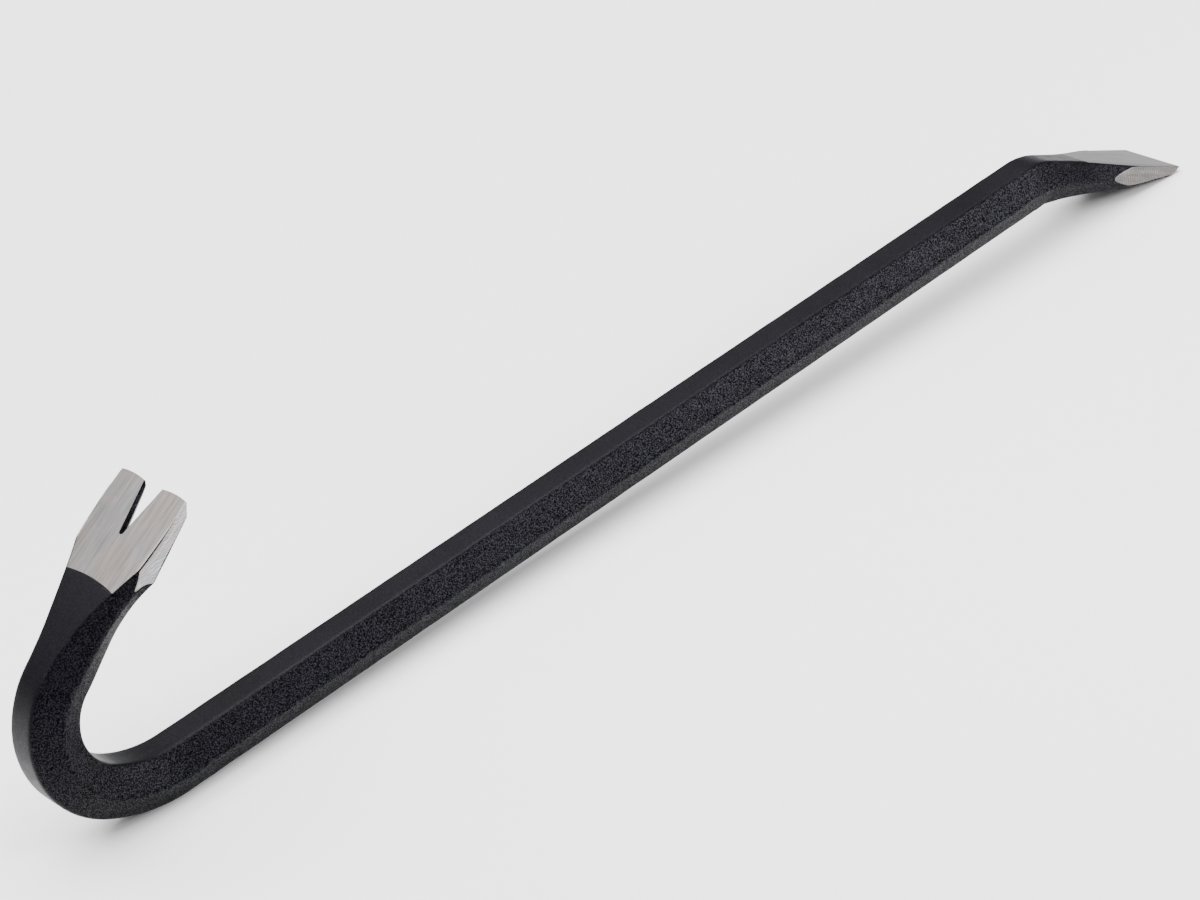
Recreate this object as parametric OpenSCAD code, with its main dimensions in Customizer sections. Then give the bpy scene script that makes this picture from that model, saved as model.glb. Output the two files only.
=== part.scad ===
// Gooseneck pry bar: a hexagonal steel bar with a bevelled nail claw on a tight
// gooseneck at one end and an angled chisel at the other, under a black coat.
// Millimetres, +Z up.  The bar stands on the outside of its bend and on the chisel,
// +X runs from the gooseneck to the chisel, and the plane Y = 0 halves the bar.

/* [Bar] */
// Width of the hexagonal bar across its flats
bar_af = 15.875; // [12:0.125:20]
// Length of the straight bar, from the gooseneck to the corner of the chisel's bend
shank_len = 357.8; // [200:0.5:700]
// Width of the worn flat along each edge of the hexagon
edge_flat = 0.9; // [0.4:0.1:1.5]
// Thickness of the black coat
coat_t = 0.15; // [0.05:0.05:0.3]

/* [Gooseneck] */
// Radius of the gentle curve that leads into the bend
lead_r = 41.8; // [30:0.1:80]
// How far that curve turns, in degrees
lead_turn = 33; // [20:0.5:45]
// Radius of the tight bend along the middle of the bar
bend_r = 24.2; // [18:0.1:40]
// How far the tight bend turns back, in degrees
bend_turn = 109; // [90:0.5:120]
// Radius of the gentle curve that leads into the claw
neck_r = 165; // [120:1:300]
// How far that curve turns, in degrees
neck_turn = 9; // [4:0.1:10]

/* [Claw] */
// Length of the flat outer face of the claw
claw_len = 32.0; // [31:0.1:45]
// Length of that face that is ground bare, measured from the tips
claw_bare = 30.4; // [26:0.1:31]
// Width of the claw at its tips
claw_w = 29.8; // [24:0.2:40]
// Distance from the tips to the corners where the flare ends
claw_corner = 22.6; // [18:0.2:25]
// Thickness of the claw just behind its edge, before the edge is bevelled
claw_edge_t = 2.2; // [1.5:0.1:4]
// Taper of the claw's thickness, in degrees
claw_taper = 11.5; // [6:0.5:14]
// Width of the nail slot between the tips
slot_w = 8.8; // [6:0.1:11]
// Depth of the nail slot
slot_len = 16.4; // [10:0.2:20]
// Radius at the root of the nail slot
slot_r = 0.95; // [0.6:0.05:1.5]
// Depth of the slot's straight wall at the tips, before the bevels inside it start
slot_wall = 1.15; // [0.8:0.05:1.6]
// Length of the bevel that makes the tines' edges
tine_bevel = 3.2; // [1.5:0.1:4]

/* [Chisel] */
// Radius of the bend into the chisel, along the middle of the bar
chisel_bend_r = 19; // [12:0.5:30]
// Downward angle of the chisel's upper face, in degrees
chisel_angle = 27.3; // [15:0.1:35]
// Length of the chisel's upper face from the bend to the edge
chisel_len = 64.4; // [50:0.1:90]
// Length of that face that is ground bare, measured from the edge
ground_len = 41.8; // [35:0.1:48]
// Width of the chisel's edge
chisel_w = 24; // [18:0.5:30]
// Thickness of the blade just behind its edge, before the edge is bevelled
chisel_edge_t = 2.2; // [1.5:0.1:4]
// Length of the bevel that makes the chisel's edge
chisel_bevel = 3.1; // [1.5:0.1:5]

/* [Hidden] */
$fn = 96;

coat_colour = [0.17, 0.165, 0.19];
steel_colour = [0.71, 0.69, 0.68];
core_colour = [0.45, 0.45, 0.46];

// The hexagon has a flat on the inside of the bend and one on the outside.
half_flat = bar_af / (2 * sqrt(3));
half_corner = bar_af / sqrt(3);
outer_r = bend_r + bar_af / 2;

// Everything is drawn with the shank level along +X, starting where it leaves the
// gooseneck, with the outer flat facing down, and is then tilted onto its two
// resting points.  Points are [x, z].
lead_centre = [0, lead_r];
bend_centre = lead_centre - (lead_r - bend_r) * [sin(lead_turn), cos(lead_turn)];
bend_start = 270 - lead_turn;
bend_end = bend_start - bend_turn;
neck_start = bend_centre + outer_r * [cos(bend_end), sin(bend_end)];
neck_heading = bend_end - 90;
claw_heading = neck_heading - neck_turn;
neck_centre = neck_start - neck_r * [cos(90 + neck_heading), sin(90 + neck_heading)];
neck_len = neck_r * neck_turn * PI / 180;
claw_start = neck_centre + neck_r * [cos(90 + claw_heading), sin(90 + claw_heading)];
claw_tip = claw_start + claw_len * [cos(claw_heading), sin(claw_heading)];

// Upper face of the chisel, from the bend's corner down to the cutting edge.
chisel_corner = [shank_len, bar_af / 2];
chisel_dir = [cos(chisel_angle), -sin(chisel_angle)];
chisel_up = [sin(chisel_angle), cos(chisel_angle)];
chisel_tip = chisel_corner + chisel_len * chisel_dir;
chisel_grow = (bar_af - chisel_edge_t) / chisel_len;
heel_s = chisel_bevel * (1 + coat_t * norm([1, chisel_grow]) / chisel_edge_t);
heel_drop = heel_s * (chisel_edge_t / chisel_bevel + chisel_grow);
chisel_heel = chisel_tip - heel_s * chisel_dir - heel_drop * chisel_up;

// Tilt that puts the gooseneck and the heel, where the coat meets the chisel's
// bevel, on one level.
heel_reach = chisel_heel - lead_centre;
rest_r = lead_r + bar_af / 2 + coat_t;
tilt = atan2(-heel_reach[1], heel_reach[0]) - asin(rest_r / norm(heel_reach));
function tilted(p) = [p[0] * cos(tilt) - p[1] * sin(tilt), p[0] * sin(tilt) + p[1] * cos(tilt)];
rest_low = tilted(lead_centre)[1] - rest_r;
left_end = tilted(bend_centre)[0] - outer_r - coat_t;
right_end = tilted(chisel_tip)[0];

module stand() {
    translate([-(left_end + right_end) / 2, 0, -rest_low])
        rotate([0, -tilt, 0])
            children();
}

// ---- Sections ----
// A section is six corners [y, v]: v runs inwards from the outer face of the bar.
function hexagon(w_out, w_mid, w_in, h, mid = 0.5) = [
    [w_out, 0], [w_mid, mid * h], [w_in, h],
    [-w_in, h], [-w_mid, mid * h], [-w_out, 0]
];

function unit(v) = v / norm(v);
function turned(v) = [v[1], -v[0]];

// The same section with every side moved outwards by g.
function grown(p, g) = [
    for (i = [0:5])
        let (
            a = turned(unit(p[i] - p[(i + 5) % 6])),
            b = turned(unit(p[(i + 1) % 6] - p[i]))
        )
        p[i] + g * (a + b) / (1 + a * b)
];

// The same section with a small flat on each corner.
function worn(p) = [
    for (i = [0:5])
        let (
            back = p[(i + 5) % 6] - p[i],
            ahead = p[(i + 1) % 6] - p[i],
            cut = min(edge_flat / 2 / cos(30), norm(back) / 4, norm(ahead) / 4)
        )
        each [p[i] + cut * unit(back), p[i] + cut * unit(ahead)]
];

bar_section = hexagon(half_flat, half_corner, half_flat, bar_af);

// ---- Sweeps ----
// A ring is a section in space, on a frame [x, z, angle of the inward direction].
function placed(section, at) = [
    for (q = section) [at[0] + q[1] * cos(at[2]), q[0], at[1] + q[1] * sin(at[2])]
];

// A closed solid through rings of equal size.
module loft(rings) {
    n = len(rings[0]);
    last = (len(rings) - 1) * n;
    polyhedron(
        points = [for (r = rings) each r],
        faces = [
            [for (i = [0:n - 1]) i],
            [for (i = [n - 1:-1:0]) last + i],
            for (k = [0:len(rings) - 2])
                for (i = [0:n - 1])
                    let (a = k * n + i, b = k * n + (i + 1) % n)
                    each [[a, a + n, b], [b, a + n, b + n]]
        ],
        convexity = 4
    );
}

// A tube: the space between two lofts that share their end planes.
module shell(outer, inner) {
    n = len(outer[0]);
    rows = len(outer);
    in = n * rows;
    polyhedron(
        points = [for (r = concat(outer, inner)) each r],
        faces = [
            for (k = [0:rows - 2])
                for (i = [0:n - 1])
                    let (a = k * n + i, b = k * n + (i + 1) % n)
                    each [
                        [a, a + n, b], [b, a + n, b + n],
                        [in + a, in + b, in + a + n], [in + b, in + b + n, in + a + n]
                    ],
            for (i = [0:n - 1])
                let (j = (i + 1) % n, z = in - n)
                each [
                    [i, j, in + i], [j, in + j, in + i],
                    [z + i, in + z + i, z + j], [z + j, in + z + i, in + z + j]
                ]
        ],
        convexity = 8
    );
}

function ramp(a, b, x) = let (t = min(max((x - a) / (b - a), 0), 1)) t * t * (3 - 2 * t);

// ---- Claw: s is the distance back from the tips along the outer face ----
neck_end_s = claw_len + neck_len;
claw_flare_w = claw_w / 2 - 0.25;
blade_grow = tan(claw_taper);
blade_t = claw_edge_t + claw_corner * blade_grow;

function claw_frame(s) = s <= claw_len
    ? [claw_tip[0] - s * cos(claw_heading), claw_tip[1] - s * sin(claw_heading), claw_heading - 90]
    : let (a = 90 + claw_heading + (s - claw_len) / neck_r * 180 / PI)
        [neck_centre[0] + neck_r * cos(a), neck_centre[1] + neck_r * sin(a), a - 180];

// How far along the flare a place is: 0 at the round bar, 1 at the claw's corners.
function flare(s) = min(max((neck_end_s - s) / (neck_end_s - claw_corner), 0), 1);

// Thickness: a straight taper in the claw, then a smooth rise to the bar's.
function claw_h(s) = s <= claw_corner
    ? claw_edge_t + s * blade_grow
    : let (
        run = neck_end_s - claw_corner,
        t = (s - claw_corner) / run
    )
    blade_t + (bar_af - blade_t) * t * t * (3 - 2 * t) + run * blade_grow * t * (1 - t) * (1 - t);

function claw_section(s) =
    let (f = flare(s), past = max(claw_corner - s, 0))
    hexagon(
        half_flat + (claw_flare_w - half_flat) * pow(f, 1.65) + 0.04 * past,
        half_corner + (claw_flare_w + 1.2 - half_corner) * pow(f, 1.8) + 0.06 * past,
        half_flat + (claw_flare_w + 0.3 - half_flat) * pow(f, 2.4) + 0.02 * past,
        claw_h(s),
        0.5 - 0.05 * f
    );

function claw_rings(from, to, steps, g = 0) = [
    for (k = [0:steps])
        let (s = from + (to - from) * k / steps)
        placed(worn(grown(claw_section(s), g)), claw_frame(s))
];

// The claw before grinding, which starts a little past the tips.
overrun = 3;
function claw_blank_rings(g = 0) = claw_rings(-overrun, claw_bare, 24, g);

// Puts a flat drawing on the claw: x is the distance back from the tips, y is
// across, and the extrusion runs inwards from the outer face.
module on_claw() {
    translate([claw_tip[0], 0, claw_tip[1]])
        rotate([0, 180 - claw_heading, 0])
            children();
}

// Outline left by grinding: slightly convex sides and a shallow arc on each tine.
side_bulge = 0.6;
side_r = pow(claw_corner, 2) / (8 * side_bulge);
tine_w = (claw_w - slot_w) / 2;
tine_bulge = 0.45;
tine_r = pow(tine_w, 2) / (8 * tine_bulge);

module tine_outline(side) {
    intersection() {
        translate([0, side > 0 ? 0 : -claw_w])
            square([claw_len + 1, claw_w]);
        translate([claw_corner / 2, side * (claw_w / 2 + side_bulge - side_r)])
            circle(side_r, $fn = 180);
        union() {
            translate([tine_r, side * (slot_w + tine_w) / 2])
                circle(tine_r, $fn = 180);
            translate([tine_r, -claw_w])
                square([claw_len, 2 * claw_w]);
        }
    }
}

// The coat's edge stops this far below a ground face.
coat_gap = 0.03;

// All that grinding leaves of the claw: the outer face is a plane, the sides are
// slightly convex and the tines end in a bevel.
module claw_ground(gap = 0) {
    on_claw()
        difference() {
            translate([0, 0, gap])
                linear_extrude(24) {
                    tine_outline(1);
                    tine_outline(-1);
                }
            edge_bevel(tine_bevel, claw_edge_t + tine_bevel * blade_grow);
        }
}

// Half-space beyond a bevel that starts at the edge and is len long and deep.
module edge_bevel(len, deep) {
    rotate([0, -atan2(deep, len), 0])
        translate([-8, -claw_w, 0])
            cube([40, 2 * claw_w, 20]);
}

// The nail slot, drawn in by shrink on every side.
slot_root = slot_len - slot_r;
function slot_half(s) = slot_r + (slot_w / 2 - slot_r) * (1 - s / slot_root);

module nail_slot(shrink = 0) {
    on_claw() {
        translate([0, 0, -2])
            linear_extrude(24) {
                translate([slot_root, 0])
                    circle(slot_r - shrink, $fn = 48);
                polygon([
                    [-overrun, slot_half(-overrun) - shrink], [slot_root, slot_r - shrink],
                    [slot_root, shrink - slot_r], [-overrun, shrink - slot_half(-overrun)]
                ]);
            }
        slot_bevels(shrink);
    }
}

// A wedge that bevels the slot at 45 degrees towards the claw's inner face, below
// a straight wall that grows a little deeper towards the root.
module slot_bevels(shrink) {
    inset = 0.4;
    high = 12;
    ends = [
        for (s = [-overrun, slot_len])
            let (y = slot_half(s), v = slot_wall + 0.037 * s + 2 * shrink)
            each [
                [s, inset - y, v - inset], [s, y - inset, v - inset],
                [s, y + high, v + high], [s, -y - high, v + high]
            ]
    ];
    polyhedron(
        points = ends,
        faces = [
            [0, 1, 2, 3], [7, 6, 5, 4], [4, 5, 1, 0],
            [5, 6, 2, 1], [6, 7, 3, 2], [7, 4, 0, 3]
        ]
    );
}

module nail_claw() {
    color(steel_colour)
        stand()
            difference() {
                intersection() {
                    loft(claw_blank_rings());
                    claw_ground();
                }
                nail_slot();
            }
}

function claw_neck_rings(g = 0) = claw_rings(claw_bare, neck_end_s, 18, g);

module claw_neck() {
    color(core_colour)
        stand()
            loft(claw_neck_rings());
}

// ---- Gooseneck and shank ----
// Rings round one curve of the gooseneck, about its centre.
function turn_rings(centre, r, from, to, steps, g) = [
    for (k = [0:steps])
        let (a = from + (to - from) * k / steps)
        placed(
            worn(grown(bar_section, g)),
            [centre[0] + (r + bar_af / 2) * cos(a), centre[1] + (r + bar_af / 2) * sin(a), a + 180]
        )
];

tight_steps = 44;
lead_steps = 10;
function gooseneck_rings(g = 0) = concat(
    turn_rings(bend_centre, bend_r, bend_end, bend_start, tight_steps, g),
    [for (k = [1:lead_steps]) turn_rings(lead_centre, lead_r, bend_start, 270, lead_steps, g)[k]]
);

module gooseneck_bend() {
    color(core_colour)
        stand()
            loft(gooseneck_rings());
}

module bar_outline(g = 0) {
    polygon(worn(grown(bar_section, g)));
}

chisel_top_r = chisel_bend_r + bar_af / 2;
bend_tangent = chisel_top_r * tan(chisel_angle / 2);
straight_len = shank_len - bend_tangent;

module straight() {
    translate([0, 0, -bar_af / 2])
        rotate([90, 0, 90])
            linear_extrude(straight_len)
                children();
}

module hex_shank() {
    color(core_colour)
        stand()
            straight() bar_outline();
}

// ---- Chisel: s is the distance back from the edge along the upper face ----
chisel_bend_s = chisel_len - bend_tangent;
chisel_side_taper = 2;
function chisel_h(s) = chisel_edge_t + s * chisel_grow;

function chisel_section(s) =
    let (
        spread = 1 - ramp(0.29 * chisel_len, 0.8 * chisel_len, s),
        bulge = 1 - ramp(0.12 * chisel_len, 0.9 * chisel_len, s),
        w = half_flat + (chisel_w / 2 - 0.7 - half_flat) * spread + 0.06 * max(0.29 * chisel_len - s, 0)
    )
    hexagon(w, half_corner + (chisel_w / 2 + 1.4 - half_corner) * bulge, w, chisel_h(s));

// The section and its frame: on the upper face up to the bend, then round it.
function chisel_ring(s, g) =
    let (top = chisel_tip - s * chisel_dir, foot = top - chisel_h(s) * chisel_up)
    placed(worn(grown(chisel_section(s), g)), [foot[0], foot[1], 90 - chisel_angle]);

function chisel_bend_ring(turn, g) =
    let (
        taper = (bar_af - chisel_h(chisel_bend_s)) * turn / chisel_angle,
        h = bar_af - taper + 0.5 * sin(180 * turn / chisel_angle),
        r = chisel_top_r - h,
        foot = [straight_len + r * sin(turn), bar_af / 2 - chisel_top_r + r * cos(turn)]
    )
    placed(worn(grown(hexagon(half_flat, half_corner, half_flat, h), g)), [foot[0], foot[1], 90 - turn]);

neck_steps = 8;
function chisel_neck_rings(g = 0) = concat(
    [for (k = [0:neck_steps - 1]) chisel_bend_ring(chisel_angle * k / neck_steps, g)],
    [
        for (k = [0:neck_steps])
            chisel_ring(chisel_bend_s + (ground_len - chisel_bend_s) * k / neck_steps, g)
    ]
);

blade_steps = 20;
function chisel_s(k) = ground_len - (ground_len + overrun) * k / blade_steps;
function chisel_blank_rings(g = 0) = [for (k = [0:blade_steps]) chisel_ring(chisel_s(k), g)];

// Puts a drawing on the chisel: x back from the edge, z down from the upper face.
module on_chisel() {
    translate([chisel_tip[0], 0, chisel_tip[1]])
        rotate([0, 180 + chisel_angle, 0])
            children();
}

// All that grinding leaves of the chisel: a flat upper face, flat sides that spread
// a little towards the edge, and a bevel below.
module chisel_ground(gap = 0) {
    end_w = chisel_w / 2 - (ground_len + 1) * tan(chisel_side_taper);
    on_chisel()
        difference() {
            translate([0, 0, gap])
                linear_extrude(24)
                    polygon([
                        [0, chisel_w / 2], [ground_len + 1, end_w],
                        [ground_len + 1, -end_w], [0, -chisel_w / 2]
                    ]);
            edge_bevel(chisel_bevel, chisel_h(chisel_bevel));
        }
}

module chisel_neck() {
    color(core_colour)
        stand()
            loft(chisel_neck_rings());
}

module chisel_blade() {
    color(steel_colour)
        stand()
            intersection() {
                loft(chisel_blank_rings());
                chisel_ground();
            }
}

// ---- Coat: a skin on all that grinding didn't reach, the slot's walls included ----
module coat() {
    color(coat_colour)
        stand()
            children();
}

module claw_coat() {
    coat()
        difference() {
            intersection() {
                shell(claw_blank_rings(coat_t), claw_blank_rings());
                claw_ground(coat_gap);
            }
            nail_slot();
        }
}

module slot_coat() {
    coat()
        difference() {
            intersection() {
                loft(claw_blank_rings());
                claw_ground();
                nail_slot();
            }
            nail_slot(coat_t);
        }
}

module claw_neck_coat() {
    coat() shell(claw_neck_rings(coat_t), claw_neck_rings());
}

module coat_outline() {
    difference() {
        bar_outline(coat_t);
        bar_outline();
    }
}

module gooseneck_coat() {
    coat() shell(gooseneck_rings(coat_t), gooseneck_rings());
}

module shank_coat() {
    coat() straight() coat_outline();
}

module chisel_neck_coat() {
    coat() shell(chisel_neck_rings(coat_t), chisel_neck_rings());
}

module chisel_coat() {
    coat()
        difference() {
            intersection() {
                loft(chisel_blank_rings(coat_t));
                chisel_ground(coat_gap);
            }
            loft(chisel_blank_rings());
        }
}

nail_claw();
claw_neck();
gooseneck_bend();
hex_shank();
chisel_neck();
chisel_blade();
claw_coat();
slot_coat();
claw_neck_coat();
gooseneck_coat();
shank_coat();
chisel_neck_coat();
chisel_coat();
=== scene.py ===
"""Gooseneck pry bar: one forging under a black textured coat, ground bare on the
claw and on the chisel.  Lengths in the bar's own drawing are millimetres and are
turned into metres when a mesh is made."""
import math
import bmesh
import bpy
import numpy as np
from mathutils import Matrix, Vector

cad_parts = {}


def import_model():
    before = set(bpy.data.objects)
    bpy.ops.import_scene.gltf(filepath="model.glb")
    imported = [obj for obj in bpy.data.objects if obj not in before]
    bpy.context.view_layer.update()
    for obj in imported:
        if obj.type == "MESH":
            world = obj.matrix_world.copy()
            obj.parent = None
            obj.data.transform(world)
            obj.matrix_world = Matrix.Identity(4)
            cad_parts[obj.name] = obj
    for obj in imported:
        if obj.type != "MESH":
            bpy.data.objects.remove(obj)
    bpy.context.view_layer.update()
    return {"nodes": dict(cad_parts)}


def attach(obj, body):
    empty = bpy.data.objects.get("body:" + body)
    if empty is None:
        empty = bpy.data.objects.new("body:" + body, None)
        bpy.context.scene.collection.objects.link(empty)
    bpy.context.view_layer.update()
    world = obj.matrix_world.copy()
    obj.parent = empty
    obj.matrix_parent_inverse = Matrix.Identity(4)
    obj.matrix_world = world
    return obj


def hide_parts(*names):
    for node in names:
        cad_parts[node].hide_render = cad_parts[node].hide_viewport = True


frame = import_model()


# ---- Dimensions of the bar, as in the CAD ----
AF = 15.875
COAT = 0.15
SHANK = 357.8
LEAD_R, LEAD_TURN = 41.8, 33.0
BEND_R, BEND_TURN = 24.2, 109.0
NECK_R, NECK_TURN = 165.0, 9.0
CLAW_LEN, CLAW_BARE, CLAW_W, CLAW_CORNER = 32.0, 30.4, 29.8, 22.6
CLAW_EDGE_T, CLAW_TAPER = 2.2, 11.5
SLOT_W, SLOT_LEN, SLOT_R, SLOT_WALL = 8.8, 16.4, 0.95, 1.15
TINE_BEVEL = 3.2
CHISEL_BEND_R, CHISEL_ANGLE, CHISEL_LEN = 19.0, 27.3, 64.4
GROUND_LEN, CHISEL_W = 41.8, 24.0
CHISEL_EDGE_T, CHISEL_BEVEL = 2.2, 3.1
SIDE_BULGE, TINE_BULGE, SIDE_TAPER = 0.6, 0.45, 2.0
OVERRUN = 3.0
BAR_ROUND = 1.6


def cosd(a):
    return math.cos(math.radians(a))


def sind(a):
    return math.sin(math.radians(a))


def heading(a):
    return np.array([cosd(a), sind(a)])


HALF_FLAT = AF / (2 * math.sqrt(3))
HALF_CORNER = AF / math.sqrt(3)
OUTER_R = BEND_R + AF / 2
LEAD_C = np.array([0.0, LEAD_R])
BEND_C = LEAD_C - (LEAD_R - BEND_R) * np.array([sind(LEAD_TURN), cosd(LEAD_TURN)])
BEND_START = 270 - LEAD_TURN
BEND_END = BEND_START - BEND_TURN
NECK_START = BEND_C + OUTER_R * heading(BEND_END)
NECK_HEADING = BEND_END - 90
CLAW_HEADING = NECK_HEADING - NECK_TURN
NECK_C = NECK_START - NECK_R * heading(90 + NECK_HEADING)
NECK_LEN = NECK_R * math.radians(NECK_TURN)
CLAW_START = NECK_C + NECK_R * heading(90 + CLAW_HEADING)
CLAW_TIP = CLAW_START + CLAW_LEN * heading(CLAW_HEADING)
NECK_END = CLAW_LEN + NECK_LEN

CHISEL_DIR = np.array([cosd(CHISEL_ANGLE), -sind(CHISEL_ANGLE)])
CHISEL_UP = np.array([sind(CHISEL_ANGLE), cosd(CHISEL_ANGLE)])
CHISEL_TIP = np.array([SHANK, AF / 2]) + CHISEL_LEN * CHISEL_DIR
CHISEL_GROW = (AF - CHISEL_EDGE_T) / CHISEL_LEN
CHISEL_TOP_R = CHISEL_BEND_R + AF / 2
BEND_TANGENT = CHISEL_TOP_R * math.tan(math.radians(CHISEL_ANGLE / 2))
STRAIGHT = SHANK - BEND_TANGENT
CHISEL_BEND_S = CHISEL_LEN - BEND_TANGENT

# The bar rests on the outside of its gooseneck and on the heel of the chisel.
HEEL_S = CHISEL_BEVEL * (1 + COAT * math.hypot(1, CHISEL_GROW) / CHISEL_EDGE_T)
HEEL_DROP = HEEL_S * (CHISEL_EDGE_T / CHISEL_BEVEL + CHISEL_GROW)
HEEL = CHISEL_TIP - HEEL_S * CHISEL_DIR - HEEL_DROP * CHISEL_UP
REACH = HEEL - LEAD_C
REST_R = LEAD_R + AF / 2 + COAT
TILT = math.atan2(-REACH[1], REACH[0]) - math.asin(REST_R / float(np.hypot(*REACH)))


def tilted(p):
    c, s = math.cos(TILT), math.sin(TILT)
    return np.array([p[0] * c - p[1] * s, p[0] * s + p[1] * c])


LOW = tilted(LEAD_C)[1] - REST_R
MIDDLE = (tilted(BEND_C)[0] - OUTER_R - COAT + tilted(CHISEL_TIP)[0]) / 2


def world(points):
    """Points of the bar's own drawing, [x, y, z] in mm, as metres in the row frame."""
    p = np.asarray(points, float).reshape(-1, 3)
    c, s = math.cos(TILT), math.sin(TILT)
    x = p[:, 0] * c - p[:, 2] * s - MIDDLE
    z = p[:, 0] * s + p[:, 2] * c - LOW
    return np.stack([x, p[:, 1], z], 1) / 1000


# ---- Camera ----
def make_camera():
    data = bpy.data.cameras.new("camera")
    data.lens = 101.87
    data.sensor_width = 36
    data.sensor_fit = "HORIZONTAL"
    data.clip_end = 50
    cam = bpy.data.objects.new("camera", data)
    bpy.context.collection.objects.link(cam)
    place = Vector(world([[-328.2, -702.5, 553.2]])[0])
    look = np.array([0.48411, 0.69085, -0.53699])
    right = np.array([0.72532, -0.66011, -0.19535])
    up = np.array([0.48943, 0.29492, 0.82066])
    turn = Matrix.Rotation(-TILT, 3, "Y")
    axes = [turn @ Vector(v) for v in (right, up, -look)]
    basis = Matrix(axes).transposed().to_4x4()
    cam.matrix_world = Matrix.Translation(place) @ basis
    bpy.context.scene.camera = cam


make_camera()


# ---- Sections: [y, v], where v runs inwards from the outer face ----
def hexagon(w_out, w_mid, w_in, h, mid=0.5):
    return np.array([
        [w_out, 0], [w_mid, mid * h], [w_in, h],
        [-w_in, h], [-w_mid, mid * h], [-w_out, 0],
    ])


def unit(v):
    return v / np.linalg.norm(v)


def grown(p, g):
    out = []
    for i in range(6):
        e = unit(p[i] - p[i - 1])
        f = unit(p[(i + 1) % 6] - p[i])
        a = np.array([e[1], -e[0]])
        b = np.array([f[1], -f[0]])
        out.append(p[i] + g * (a + b) / (1 + a @ b))
    return np.array(out)


ARC, FLAT = 6, 5


def rounded(p, r, r_mid=None):
    """The section with round corners: ARC steps on each corner, FLAT on each side.
    r_mid is for the two corners on the bar's sides."""
    arcs = []
    radii = [r, r_mid or r, r, r, r_mid or r, r]
    for i in range(6):
        back, ahead = p[i - 1] - p[i], p[(i + 1) % 6] - p[i]
        u, w = unit(back), unit(ahead)
        half = math.acos(max(-1.0, min(1.0, float(u @ w)))) / 2
        limit = 0.42 * min(np.linalg.norm(back), np.linalg.norm(ahead))
        reach = min(radii[i] / math.tan(half), limit)
        radius = reach * math.tan(half)
        centre = p[i] + unit(u + w) * radius / math.sin(half)
        a, b = p[i] + u * reach - centre, p[i] + w * reach - centre
        span = math.pi - 2 * half
        arc = [
            centre + (math.sin((1 - t) * span) * a + math.sin(t * span) * b) / math.sin(span)
            for t in np.linspace(0, 1, ARC + 1)
        ]
        arcs.append(arc)
    out = []
    for i in range(6):
        out.extend(arcs[i])
        last, nxt = arcs[i][-1], arcs[(i + 1) % 6][0]
        out.extend(last + (nxt - last) * k / FLAT for k in range(1, FLAT))
    return np.array(out)


def placed(section, at):
    """A section in the bar's drawing, on the frame [x, z, angle of the inward direction]."""
    c, s = cosd(at[2]), sind(at[2])
    return np.stack([at[0] + section[:, 1] * c, section[:, 0], at[1] + section[:, 1] * s], 1)


def ramp(a, b, x):
    t = min(max((x - a) / (b - a), 0), 1)
    return t * t * (3 - 2 * t)


GROW = math.tan(math.radians(CLAW_TAPER))
BLADE_T = CLAW_EDGE_T + CLAW_CORNER * GROW
FLARE_W = CLAW_W / 2 - 0.25


def claw_frame(s):
    if s <= CLAW_LEN:
        p = CLAW_TIP - s * heading(CLAW_HEADING)
        return [p[0], p[1], CLAW_HEADING - 90]
    a = 90 + CLAW_HEADING + math.degrees((s - CLAW_LEN) / NECK_R)
    p = NECK_C + NECK_R * heading(a)
    return [p[0], p[1], a - 180]


def flare(s):
    return min(max((NECK_END - s) / (NECK_END - CLAW_CORNER), 0), 1)


def claw_h(s):
    if s <= CLAW_CORNER:
        return CLAW_EDGE_T + s * GROW
    run = NECK_END - CLAW_CORNER
    t = (s - CLAW_CORNER) / run
    return BLADE_T + (AF - BLADE_T) * t * t * (3 - 2 * t) + run * GROW * t * (1 - t) ** 2


def claw_section(s):
    f, past = flare(s), max(CLAW_CORNER - s, 0)
    line = SIDE_BULGE * max(1 - (2 * s / CLAW_CORNER - 1) ** 2, 0)
    return hexagon(
        HALF_FLAT + (FLARE_W - HALF_FLAT) * f ** 1.65 + line,
        HALF_CORNER + (FLARE_W + 1.2 - HALF_CORNER) * f ** 1.8 + 0.06 * past,
        HALF_FLAT + (FLARE_W + 0.3 - HALF_FLAT) * f ** 2.4 + 0.02 * past,
        claw_h(s),
        0.5 - 0.05 * f,
    )


def claw_ring(s, g):
    soft = BAR_ROUND + (0.9 - BAR_ROUND) * ramp(0.1, 0.8, flare(s))
    return placed(rounded(grown(claw_section(s), g), soft, BAR_ROUND), claw_frame(s))


def bar_ring(at, g, h=AF):
    return placed(rounded(grown(hexagon(HALF_FLAT, HALF_CORNER, HALF_FLAT, h), g), BAR_ROUND), at)


def turn_ring(centre, r, a, g):
    p = centre + (r + AF / 2) * heading(a)
    return bar_ring([p[0], p[1], a + 180], g)


def chisel_h(s):
    return CHISEL_EDGE_T + s * CHISEL_GROW


def chisel_section(s):
    spread = 1 - ramp(0.29 * CHISEL_LEN, 0.8 * CHISEL_LEN, s)
    bulge = 1 - ramp(0.12 * CHISEL_LEN, 0.9 * CHISEL_LEN, s)
    w = HALF_FLAT + (CHISEL_W / 2 - 0.7 - HALF_FLAT) * spread + 0.035 * max(0.29 * CHISEL_LEN - s, 0)
    return hexagon(w, HALF_CORNER + (CHISEL_W / 2 + 1.4 - HALF_CORNER) * bulge, w, chisel_h(s))


def chisel_ring(s, g):
    foot = CHISEL_TIP - s * CHISEL_DIR - chisel_h(s) * CHISEL_UP
    far = 1 - ramp(0.2 * CHISEL_LEN, 0.6 * CHISEL_LEN, s)
    section = rounded(grown(chisel_section(s), g), BAR_ROUND - 0.8 * far, BAR_ROUND + 2.4 * far)
    return placed(section, [foot[0], foot[1], 90 - CHISEL_ANGLE])


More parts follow.
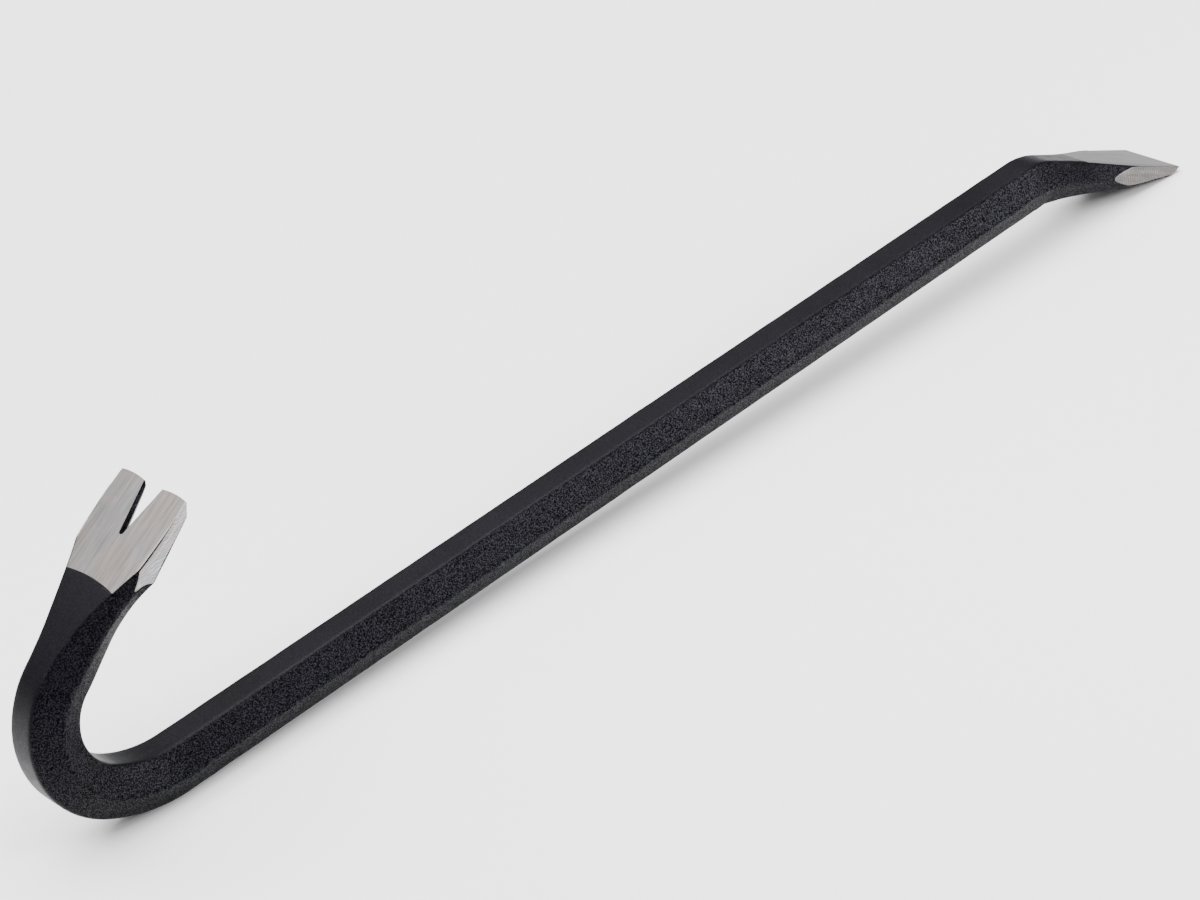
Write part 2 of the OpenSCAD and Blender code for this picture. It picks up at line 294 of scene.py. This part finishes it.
def chisel_bend_ring(t, g):
    taper = (AF - chisel_h(CHISEL_BEND_S)) * t / CHISEL_ANGLE
    h = AF - taper + 0.5 * sind(180 * t / CHISEL_ANGLE)
    r = CHISEL_TOP_R - h
    return bar_ring(
        [STRAIGHT + r * sind(t), AF / 2 - CHISEL_TOP_R + r * cosd(t), 90 - t], g, h
    )


def spaced(a, b, step, closed=True):
    n = max(int(round(abs(b - a) / step)), 1)
    return [a + (b - a) * k / n for k in range(n + 1 if closed else n)]


def claw_part(g, to):
    return [claw_ring(s, g) for s in spaced(-OVERRUN, to, 0.7)]


def chisel_part(g, start):
    return [chisel_ring(s, g) for s in spaced(start, -OVERRUN, 0.8)]


def whole_bar(g):
    rings = [claw_ring(s, g) for s in spaced(-OVERRUN, CLAW_LEN, 0.7, False)]
    rings += [claw_ring(s, g) for s in spaced(CLAW_LEN, NECK_END, 0.9, False)]
    rings += [turn_ring(BEND_C, BEND_R, a, g) for a in spaced(BEND_END, BEND_START, 1.6, False)]
    rings += [turn_ring(LEAD_C, LEAD_R, a, g) for a in spaced(BEND_START, 270, 1.4, False)]
    rings += [bar_ring([x, -AF / 2, 90], g) for x in spaced(0, STRAIGHT, 3.0, False)]
    rings += [chisel_bend_ring(t, g) for t in spaced(0, CHISEL_ANGLE, 1.8, False)]
    rings += [chisel_ring(s, g) for s in spaced(CHISEL_BEND_S, -OVERRUN, 0.8)]
    return rings


# ---- Meshes ----
def mesh_object(name, points, faces, material=None):
    me = bpy.data.meshes.new(name)
    me.from_pydata([tuple(p) for p in points], [], faces)
    me.update()
    ob = bpy.data.objects.new(name, me)
    bpy.context.collection.objects.link(ob)
    if material:
        me.materials.append(material)
    return ob


def fix_normals(ob):
    bm = bmesh.new()
    bm.from_mesh(ob.data)
    bmesh.ops.recalc_face_normals(bm, faces=bm.faces)
    if bm.calc_volume(signed=True) < 0:
        bmesh.ops.reverse_faces(bm, faces=bm.faces)
    bm.to_mesh(ob.data)
    bm.free()


def loft(name, rings, material):
    n = len(rings[0])
    faces = [list(range(n))[::-1]]
    for k in range(len(rings) - 1):
        for i in range(n):
            a, b = k * n + i, k * n + (i + 1) % n
            faces.append([a, b, b + n, a + n])
    faces.append([(len(rings) - 1) * n + i for i in range(n)])
    ob = mesh_object(name, world(np.concatenate(rings)), faces, material)
    fix_normals(ob)
    return ob


def forged(points, depth):
    """Moves points a little, as a hammered and rolled surface wanders."""
    p = points
    k = 2 * math.pi
    a = np.sin(k * (p[:, 0] / 31 + p[:, 2] / 23) + 0.7) + np.sin(k * (p[:, 0] / 17 - p[:, 1] / 13 + p[:, 2] / 19) + 2.1)
    b = np.sin(k * (p[:, 0] / 27 + p[:, 1] / 19) + 1.3) + np.sin(k * (p[:, 0] / 14 + p[:, 2] / 16) + 4.0)
    return p + depth * np.stack([0 * a, a / 2, b / 2], 1)


# On the claw: s back from the tips, y across, v inwards from the outer face.
def on_claw(s, y, v):
    p = CLAW_TIP - s * heading(CLAW_HEADING) + v * heading(CLAW_HEADING - 90)
    return [p[0], y, p[1]]


# On the chisel: s back from the edge, y across, v down from the upper face.
def on_chisel(s, y, v):
    p = CHISEL_TIP - s * CHISEL_DIR - v * CHISEL_UP
    return [p[0], y, p[1]]


def prism(name, where, outline, low, high, axis, material):
    """A closed prism. axis "v": outline is [s, y]; axis "y": outline is [s, v]."""
    pts = []
    for t in (low, high):
        for a, b in outline:
            pts.append(where(a, b, t) if axis == "v" else where(a, t, b))
    n = len(outline)
    faces = [list(range(n))[::-1], list(range(n, 2 * n))]
    faces += [[i, (i + 1) % n, n + (i + 1) % n, n + i] for i in range(n)]
    ob = mesh_object(name, world(pts), faces, material)
    fix_normals(ob)
    return ob


def cut(ob, cutters):
    """Takes the cutters out of ob, and keeps each cutter's material on its faces."""
    for c in cutters:
        m = ob.modifiers.new("cut", "BOOLEAN")
        m.operation = "DIFFERENCE"
        m.solver = "EXACT"
        m.material_mode = "TRANSFER"
        m.object = c
        bpy.context.view_layer.update()
        dg = bpy.context.evaluated_depsgraph_get()
        me = bpy.data.meshes.new_from_object(ob.evaluated_get(dg))
        ob.modifiers.clear()
        old = ob.data
        ob.data = me
        bpy.data.meshes.remove(old)
    for c in cutters:
        bpy.data.objects.remove(c)


# ---- Materials ----
def nodes_of(name):
    mat = bpy.data.materials.new(name)
    mat.use_nodes = True
    tree = mat.node_tree
    return mat, tree.nodes, tree.links, tree.nodes["Principled BSDF"]


def add(nodes, kind, **values):
    n = nodes.new(kind)
    for k, v in values.items():
        if k in n.inputs:
            n.inputs[k].default_value = v
        else:
            setattr(n, k, v)
    return n


def ramp_node(nodes, stops):
    n = nodes.new("ShaderNodeValToRGB")
    cr = n.color_ramp
    while len(cr.elements) > len(stops):
        cr.elements.remove(cr.elements[-1])
    while len(cr.elements) < len(stops):
        cr.elements.new(1.0)
    for e, (at, colour) in zip(cr.elements, stops):
        e.position = at
        e.color = tuple(colour) + (1,) if len(colour) == 3 else colour
    return n


def black_coat():
    mat, nodes, links, bsdf = nodes_of("black_coat")
    where = add(nodes, "ShaderNodeTexCoord")
    grain = add(nodes, "ShaderNodeTexNoise", Scale=2500.0, Detail=2.0, Roughness=0.6)
    peel = add(nodes, "ShaderNodeTexNoise", Scale=430.0, Detail=2.0, Roughness=0.5)
    cloud = add(nodes, "ShaderNodeTexNoise", Scale=40.0, Detail=4.0, Roughness=0.55)
    for n in (grain, peel, cloud):
        links.new(where.outputs["Object"], n.inputs["Vector"])

    # The grain is coarser on the bar's sides than on its inner and outer flats. On the sides the colour also carries
    # light and dark specks: painted glints and painted shade of the grain.
    facing = add(nodes, "ShaderNodeNewGeometry")
    axes = add(nodes, "ShaderNodeSeparateXYZ")
    links.new(facing.outputs["True Normal"], axes.inputs["Vector"])
    level = add(nodes, "ShaderNodeMath", operation="ABSOLUTE")
    links.new(axes.outputs["Y"], level.inputs[0])
    side = add(nodes, "ShaderNodeMapRange", interpolation_type="SMOOTHSTEP")
    side.inputs["From Min"].default_value = 0.35
    side.inputs["From Max"].default_value = 0.85
    side.inputs["To Min"].default_value = 0.3
    side.inputs["To Max"].default_value = 1.0
    links.new(level.outputs["Value"], side.inputs["Value"])

    tone = ramp_node(nodes, [(0.3, (0.0016, 0.0015, 0.0024)), (0.7, (0.0034, 0.0032, 0.0047))])
    links.new(cloud.outputs["Fac"], tone.inputs["Fac"])
    # Light and dark specks in the colour, used on the sides only: painted glints and painted shade of the grain.
    painted_glint_fleck = ramp_node(nodes, [(0.42, (0.25, 0.25, 0.26)), (0.62, (1.9, 1.9, 2.0))])
    links.new(grain.outputs["Fac"], painted_glint_fleck.inputs["Fac"])
    side_glint_mix = add(nodes, "ShaderNodeMix", data_type="RGBA")
    side_glint_mix.inputs["A"].default_value = (1, 1, 1, 1)
    links.new(side.outputs["Result"], side_glint_mix.inputs["Factor"])
    links.new(painted_glint_fleck.outputs["Color"], side_glint_mix.inputs["B"])
    mix = add(nodes, "ShaderNodeMix", data_type="RGBA", blend_type="MULTIPLY")
    mix.inputs["Factor"].default_value = 1.0
    links.new(tone.outputs["Color"], mix.inputs["A"])
    links.new(side_glint_mix.outputs["Result"], mix.inputs["B"])
    links.new(mix.outputs["Result"], bsdf.inputs["Base Color"])

    rough = add(nodes, "ShaderNodeMapRange")
    rough.inputs["To Min"].default_value = 0.34
    rough.inputs["To Max"].default_value = 0.52
    links.new(peel.outputs["Fac"], rough.inputs["Value"])
    links.new(rough.outputs["Result"], bsdf.inputs["Roughness"])
    low = add(nodes, "ShaderNodeBump", Strength=0.7, Distance=0.00006)
    high = add(nodes, "ShaderNodeBump", Strength=0.8, Distance=0.00008)
    links.new(side.outputs["Result"], low.inputs["Strength"])
    links.new(side.outputs["Result"], high.inputs["Strength"])
    links.new(peel.outputs["Fac"], low.inputs["Height"])
    links.new(grain.outputs["Fac"], high.inputs["Height"])
    links.new(low.outputs["Normal"], high.inputs["Normal"])
    links.new(high.outputs["Normal"], bsdf.inputs["Normal"])
    spark = add(nodes, "ShaderNodeMapRange")
    spark.inputs["From Min"].default_value = 0.44
    spark.inputs["From Max"].default_value = 0.64
    spark.inputs["To Min"].default_value = 0.01
    spark.inputs["To Max"].default_value = 0.19
    links.new(grain.outputs["Fac"], spark.inputs["Value"])
    shine = add(nodes, "ShaderNodeMix", data_type="FLOAT")
    shine.inputs["A"].default_value = 0.13
    links.new(side.outputs["Result"], shine.inputs["Factor"])
    links.new(spark.outputs["Result"], shine.inputs["B"])
    links.new(shine.outputs["Result"], bsdf.inputs["Specular IOR Level"])
    bsdf.inputs["Specular Tint"].default_value = (0.90, 0.89, 1.0, 1)
    return mat


def ground_steel(name, angle, tint, across, swirl=0.0):
    """Bare ground steel with grinding marks along a direction in the X-Z plane."""
    mat, nodes, links, bsdf = nodes_of(name)
    where = add(nodes, "ShaderNodeTexCoord")
    line = add(nodes, "ShaderNodeMapping", vector_type="TEXTURE")
    line.inputs["Rotation"].default_value = (0, -angle, 0)
    line.inputs["Scale"].default_value = (0.014, 1 / across, 1 / across)
    links.new(where.outputs["Object"], line.inputs["Vector"])
    marks = add(nodes, "ShaderNodeTexNoise", Scale=1.0, Detail=4.0, Roughness=0.7)
    links.new(line.outputs["Vector"], marks.inputs["Vector"])
    broad = add(nodes, "ShaderNodeMapping", vector_type="TEXTURE")
    broad.inputs["Rotation"].default_value = (0, -angle, 0)
    broad.inputs["Scale"].default_value = (0.02, 0.004, 0.004)
    links.new(where.outputs["Object"], broad.inputs["Vector"])
    bands = add(nodes, "ShaderNodeTexNoise", Scale=1.0, Detail=3.0, Roughness=0.5)
    links.new(broad.outputs["Vector"], bands.inputs["Vector"])
    cloud = add(nodes, "ShaderNodeTexNoise", Scale=70.0, Detail=3.0, Roughness=0.6)
    links.new(where.outputs["Object"], cloud.inputs["Vector"])
    base = ramp_node(nodes, [
        (0.36, tuple(c * 0.78 for c in tint)),
        (0.5, tuple(tint)),
        (0.64, tuple(min(c * 1.20, 1) for c in tint)),
    ])
    links.new(marks.outputs["Fac"], base.inputs["Fac"])
    wash = ramp_node(nodes, [(0.38, (1.0, 0.94, 0.91)), (0.5, (1, 0.985, 0.98)), (0.62, (0.88, 0.905, 0.95))])
    links.new(cloud.outputs["Fac"], wash.inputs["Fac"])
    tone = add(nodes, "ShaderNodeMix", data_type="RGBA", blend_type="MULTIPLY")
    tone.inputs["Factor"].default_value = 1.0
    links.new(base.outputs["Color"], tone.inputs["A"])
    links.new(wash.outputs["Color"], tone.inputs["B"])
    links.new(tone.outputs["Result"], bsdf.inputs["Base Color"])
    rough = add(nodes, "ShaderNodeMapRange")
    rough.inputs["To Min"].default_value = 0.44
    rough.inputs["To Max"].default_value = 0.56
    links.new(bands.outputs["Fac"], rough.inputs["Value"])
    links.new(rough.outputs["Result"], bsdf.inputs["Roughness"])
    fine = add(nodes, "ShaderNodeBump", Strength=0.5, Distance=0.000025)
    links.new(marks.outputs["Fac"], fine.inputs["Height"])
    last = fine
    if swirl:
        arcs = add(nodes, "ShaderNodeTexWave", wave_type="RINGS", rings_direction="SPHERICAL")
        arcs.inputs["Scale"].default_value = swirl
        arcs.inputs["Distortion"].default_value = 14.0
        arcs.inputs["Detail"].default_value = 3.0
        arcs.inputs["Detail Scale"].default_value = 0.6
        shift = add(nodes, "ShaderNodeMapping")
        shift.inputs["Location"].default_value = (0.18, 0.0, -0.05)
        links.new(where.outputs["Object"], shift.inputs["Vector"])
        links.new(shift.outputs["Vector"], arcs.inputs["Vector"])
        last = add(nodes, "ShaderNodeBump", Strength=0.5, Distance=0.00006)
        links.new(arcs.outputs["Fac"], last.inputs["Height"])
        links.new(fine.outputs["Normal"], last.inputs["Normal"])
        mottle = add(nodes, "ShaderNodeTexNoise", Scale=420.0, Detail=5.0, Roughness=0.7)
        links.new(where.outputs["Object"], mottle.inputs["Vector"])
        both = add(nodes, "ShaderNodeMath", operation="MULTIPLY")
        links.new(mottle.outputs["Fac"], both.inputs[0])
        links.new(arcs.outputs["Fac"], both.inputs[1])
        scratch = ramp_node(nodes, [(0.05, (0.80, 0.79, 0.79)), (0.45, (1.22, 1.22, 1.23))])
        links.new(both.outputs["Value"], scratch.inputs["Fac"])
        worn = add(nodes, "ShaderNodeMix", data_type="RGBA", blend_type="MULTIPLY")
        worn.inputs["Factor"].default_value = 1.0
        links.new(tone.outputs["Result"], worn.inputs["A"])
        links.new(scratch.outputs["Color"], worn.inputs["B"])
        links.new(worn.outputs["Result"], bsdf.inputs["Base Color"])
    links.new(last.outputs["Normal"], bsdf.inputs["Normal"])
    bsdf.inputs["Metallic"].default_value = 1.0
    return mat


COAT_MAT = black_coat()
CLAW_ANGLE = math.radians(CLAW_HEADING) + TILT
CHISEL_DOWN = -math.radians(CHISEL_ANGLE) + TILT
CLAW_STEEL = ground_steel("claw_steel", CLAW_ANGLE, (0.222, 0.211, 0.206), 1500.0)
CLAW_SIDE = ground_steel("claw_side_steel", CLAW_ANGLE, (0.29, 0.288, 0.292), 800.0, swirl=420.0)
CHISEL_STEEL = ground_steel("chisel_steel", CHISEL_DOWN, (0.160, 0.152, 0.158), 1400.0)
# The chisel's side steel is tinted darker than its top to hold down the bright floor it reflects: painted shade. Its
# swirl marks are real grinding.
CHISEL_SIDE_SHADED = ground_steel("chisel_side_shaded_steel", CHISEL_DOWN, (0.128, 0.122, 0.119), 800.0, swirl=380.0)
CORE_MAT = ground_steel("forged_core", 0.0, (0.25, 0.25, 0.26), 700.0)


# ---- Grinding ----
SIDE_R = CLAW_CORNER ** 2 / (8 * SIDE_BULGE)
TINE_W = (CLAW_W - SLOT_W) / 2
TINE_R = TINE_W ** 2 / (8 * TINE_BULGE)
SLOT_ROOT = SLOT_LEN - SLOT_R


def side_y(s):
    return CLAW_W / 2 + SIDE_BULGE - SIDE_R + math.sqrt(SIDE_R ** 2 - (s - CLAW_CORNER / 2) ** 2)


def tip_s(y):
    off = min(abs(abs(y) - (SLOT_W + TINE_W) / 2), TINE_R * 0.5)
    return TINE_R - math.sqrt(TINE_R ** 2 - off ** 2)


def bare_s(y):
    """Where the coat begins again on the claw's outer face: bowed towards the tips."""
    return CLAW_BARE + 1.0 - 1.3 * (1 - (y / 12.5) ** 2)


def claw_cutters(gap, face_mat, side_mat, tip_mat):
    ss = spaced(-6, 30.0, 0.6)
    ys = spaced(-20, 20, 0.5)
    out = []
    if gap is not None:
        line = [[bare_s(y), y] for y in spaced(-18, 18, 0.6)] + [[-6, 18], [-6, -18]]
        out.append(prism("face_cut", on_claw, line, -3, gap, "v", face_mat))
    for side in (1, -1):
        line = [[s, side * side_y(s)] for s in ss] + [[30.0, side * 24], [-6, side * 24]]
        out.append(prism("side_cut", on_claw, line, -4, 20, "v", side_mat))
    line = [[tip_s(y), y] for y in ys] + [[-7, 20], [-7, -20]]
    out.append(prism("tip_cut", on_claw, line, -4, 14, "v", tip_mat))
    k = (CLAW_EDGE_T + TINE_BEVEL * GROW) / TINE_BEVEL
    out.append(prism(
        "bevel_cut", on_claw, [[-8, -8 * k], [14, 14 * k], [-8, 14 * k]], -22, 22, "y", tip_mat
    ))
    return out


def slot_half(s):
    return SLOT_R + (SLOT_W / 2 - SLOT_R) * (1 - s / SLOT_ROOT)


def slot_cutters(shrink, mat):
    r = SLOT_R - shrink
    root = [
        [SLOT_ROOT + r * math.cos(a), r * math.sin(a)]
        for a in np.linspace(-math.pi / 2, math.pi / 2, 17)
    ]
    mouth = slot_half(-OVERRUN - 2) - shrink
    line = root + [[-OVERRUN - 2, mouth], [-OVERRUN - 2, -mouth]]
    out = [prism("slot_cut", on_claw, line, -4, 20, "v", mat)]
    pts = []
    inset, high = 0.4, 12.0
    for s in (-OVERRUN - 2, SLOT_LEN - 0.2):
        y, v = slot_half(s), SLOT_WALL + 0.037 * s + 2 * shrink
        corners = [[inset - y, v - inset], [y - inset, v - inset], [y + high, v + high], [-y - high, v + high]]
        pts += [on_claw(s if k < 2 else s + (3.5 if s > 0 else 0), c[0], c[1]) for k, c in enumerate(corners)]
    faces = [[0, 1, 2, 3], [7, 6, 5, 4], [4, 5, 1, 0], [5, 6, 2, 1], [6, 7, 3, 2], [7, 4, 0, 3]]
    wedge = mesh_object("slot_bevel_cut", world(pts), faces, mat)
    fix_normals(wedge)
    out.append(wedge)
    return out


def chisel_cutters(gap, face_mat, side_mat, tip_mat):
    out = []
    end_w = CHISEL_W / 2 - (GROUND_LEN + 1) * math.tan(math.radians(SIDE_TAPER))
    if gap is not None:
        line = [[GROUND_LEN - 0.25 * math.sin(y * 0.9), y] for y in spaced(-16, 16, 0.5)]
        line += [[-6, 16], [-6, -16]]
        out.append(prism("top_cut", on_chisel, line, -3, gap, "v", face_mat))
    for side in (1, -1):
        slope = (CHISEL_W / 2 - end_w) / (GROUND_LEN + 1)
        line = [[s, side * (CHISEL_W / 2 - slope * s + 0.02 * max(s - 28, 0) ** 2)] for s in spaced(-6, 38, 2)]
        line += [[38, side * 22], [-6, side * 22]]
        out.append(prism("side_cut", on_chisel, line, -4, 22, "v", side_mat))
    out.append(prism("edge_cut", on_chisel, [[-8, -4], [0, -4], [0, 30], [-8, 30]], -20, 20, "y", tip_mat))
    k = chisel_h(CHISEL_BEVEL) / CHISEL_BEVEL
    out.append(prism(
        "bevel_cut", on_chisel, [[-8, -8 * k], [14, 14 * k], [-8, 14 * k]], -20, 20, "y", tip_mat
    ))
    return out


# ---- Finishing a mesh ----
def shade(ob, angle=28):
    for p in ob.data.polygons:
        p.use_smooth = True
    ob.data.set_sharp_from_angle(angle=math.radians(angle))


def clean(ob, merge=2e-6):
    bm = bmesh.new()
    bm.from_mesh(ob.data)
    bmesh.ops.remove_doubles(bm, verts=bm.verts, dist=merge)
    bmesh.ops.dissolve_degenerate(bm, dist=merge, edges=bm.edges)
    bm.to_mesh(ob.data)
    bm.free()


def make_coat():
    """The coat: the forging's whole outer surface, less what was ground, as a thin shell."""
    rings = [forged(r, 0.035) for r in whole_bar(COAT)]
    skin = loft("black_coat", rings, COAT_MAT)
    cut(skin, claw_cutters(0.03, CLAW_STEEL, CLAW_STEEL, CLAW_STEEL))
    cut(skin, slot_cutters(COAT, COAT_MAT))
    cut(skin, chisel_cutters(0.03, CLAW_STEEL, CLAW_STEEL, CLAW_STEEL))
    me = skin.data
    bare = {i for i, m in enumerate(me.materials) if m is not COAT_MAT}
    bm = bmesh.new()
    bm.from_mesh(me)
    bmesh.ops.delete(bm, geom=[f for f in bm.faces if f.material_index in bare], context="FACES")
    for f in bm.faces:
        f.material_index = 0
    bm.to_mesh(me)
    bm.free()
    me.materials.clear()
    me.materials.append(COAT_MAT)
    clean(skin)
    thick = skin.modifiers.new("thickness", "SOLIDIFY")
    thick.thickness = 0.00011
    thick.offset = -1
    thick.use_even_offset = False
    shade(skin)
    return skin


def make_claw():
    claw = loft("ground_claw", claw_part(0.0, CLAW_BARE + 0.6), CLAW_STEEL)
    claw.data.materials.append(CLAW_SIDE)
    cut(claw, claw_cutters(None, CLAW_STEEL, CLAW_SIDE, CLAW_STEEL))
    cut(claw, slot_cutters(0.0, CLAW_STEEL))
    clean(claw)
    shade(claw, 20)
    return claw


def make_chisel():
    chisel = loft("ground_chisel", chisel_part(0.0, GROUND_LEN + 0.6), CHISEL_STEEL)
    chisel.data.materials.append(CHISEL_SIDE_SHADED)
    cut(chisel, chisel_cutters(None, CHISEL_STEEL, CHISEL_SIDE_SHADED, CHISEL_SIDE_SHADED))
    clean(chisel)
    shade(chisel, 20)
    return chisel


def build():
    coat = make_coat()
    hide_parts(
        "claw_coat", "slot_coat", "claw_neck_coat", "gooseneck_coat", "shank_coat",
        "chisel_neck_coat", "chisel_coat",
    )
    claw = make_claw()
    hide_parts("nail_claw")
    chisel = make_chisel()
    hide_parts("chisel_blade")
    for piece in (coat, claw, chisel):
        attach(piece, "root")
    for name in ("claw_neck", "gooseneck_bend", "hex_shank", "chisel_neck"):
        node = frame["nodes"][name]
        node.data.materials.clear()
        node.data.materials.append(CORE_MAT)


build()


# ---- Floor and light ----
def floor_material():
    mat, nodes, links, bsdf = nodes_of("pale_floor")
    where = add(nodes, "ShaderNodeTexCoord")
    cloud = add(nodes, "ShaderNodeTexNoise", Scale=3.0, Detail=2.0)
    links.new(where.outputs["Object"], cloud.inputs["Vector"])
    tone = ramp_node(nodes, [(0.3, (0.90, 0.90, 0.905)), (0.7, (0.93, 0.93, 0.93))])
    links.new(cloud.outputs["Fac"], tone.inputs["Fac"])
    links.new(tone.outputs["Color"], bsdf.inputs["Base Color"])
    bsdf.inputs["Roughness"].default_value = 0.9
    bsdf.inputs["Specular IOR Level"].default_value = 0.1
    return mat


def make_floor():
    half = 3.0
    pts = [[-half, -half, -0.0004], [half, -half, -0.0004], [half, half, -0.0004], [-half, half, -0.0004]]
    floor = mesh_object("floor", pts, [[0, 1, 2, 3]], floor_material())


def area(name, place, target, size, power, colour=(1, 1, 1)):
    data = bpy.data.lights.new(name, "AREA")
    data.shape = "RECTANGLE"
    data.size, data.size_y = size
    data.energy = power
    data.color = colour
    ob = bpy.data.objects.new(name, data)
    bpy.context.collection.objects.link(ob)
    ob.location = place
    ob.rotation_euler = (Vector(target) - Vector(place)).to_track_quat("-Z", "Y").to_euler()


def make_light():
    w = bpy.data.worlds.new("studio")
    bpy.context.scene.world = w
    w.use_nodes = True
    bg = w.node_tree.nodes["Background"]
    bg.inputs["Color"].default_value = (1.0, 1.0, 1.0, 1)
    bg.inputs["Strength"].default_value = 0.28
    area("top", (-0.2, 0.1, 2.2), (0, 0, 0), (3.0, 3.0), 235)
    area("back", (0.2, 1.5, 1.15), (0, 0, 0.03), (2.4, 0.9), 6)
    area("front_right", (0.95, -1.15, 0.62), (0.02, 0, 0.02), (0.5, 0.45), 25)


make_floor()
make_light()
